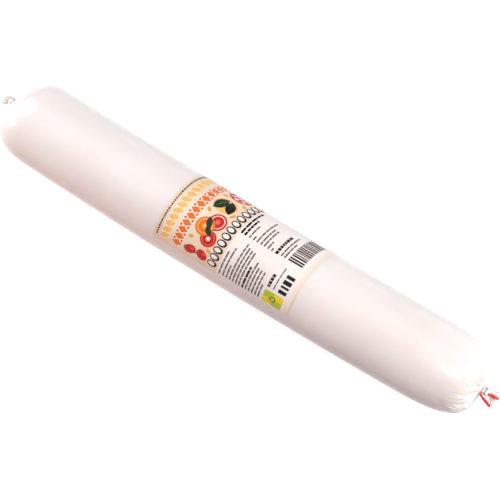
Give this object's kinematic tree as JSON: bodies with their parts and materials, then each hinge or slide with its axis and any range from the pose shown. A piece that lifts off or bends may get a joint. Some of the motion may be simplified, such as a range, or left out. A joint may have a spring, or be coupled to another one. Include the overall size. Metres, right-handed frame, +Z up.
{
  "type": "vegan mozzarella roll in a clipped film casing",
  "caption": "Long roll of plant-based mozzarella in a glossy white film casing, both ends gathered and clipped, with a printed label round its top and a red pull tape.",
  "frame": {"origin": "middle of the underside of the object's box, on the surface that the roll rests on", "axes": "+X along the roll towards the end with the red pull tape, +Z up through the label, -Y towards the label's lower edge"},
  "size_m": [0.4108, 0.0606, 0.0586],
  "materials": {
    "film": "glossy white casing film, drawn tight",
    "label_paper": "semi-matt printed paper, cream ground",
    "clip_metal": "bright crimped aluminium",
    "tape_red": "red woven-look plastic tape"
  },
  "bodies": {
    "root": {"casing": "film", "label": "label_paper", "clip_left": "clip_metal", "clip_right": "clip_metal", "pull_tape": "tape_red"}
  },
  "joints": []
}
